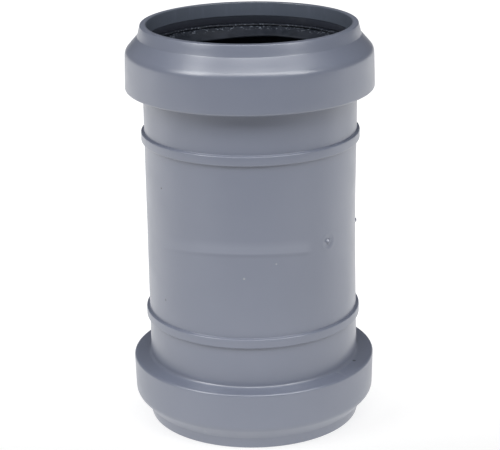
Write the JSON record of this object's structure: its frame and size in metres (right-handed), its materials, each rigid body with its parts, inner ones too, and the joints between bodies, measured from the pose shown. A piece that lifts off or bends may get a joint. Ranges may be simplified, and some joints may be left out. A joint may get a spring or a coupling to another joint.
{
  "type": "push fit coupling",
  "caption": "Round push fit coupling for waste pipe: a ribbed tube with a collared socket and a lip seal at each end, joining pipes in line.",
  "frame": {"origin": "on the pipe axis, level with the middle of the centre stop, which is the centre of the bounding box", "axes": "+Z along the pipe axis towards the upper socket; the part is round about Z and its two ends are mirror images, so X and Y may point anywhere across the axis"},
  "size_m": [0.0632, 0.0632, 0.104],
  "materials": {
    "body_plastic": "satin injection-moulded grey polypropylene with a slight blue cast",
    "seal_rubber": "black elastomer, lightly coated with clear lubricant"
  },
  "bodies": {
    "root": {"coupling_body": "body_plastic", "seal_ring_upper": "seal_rubber", "seal_ring_lower": "seal_rubber"}
  },
  "joints": []
}
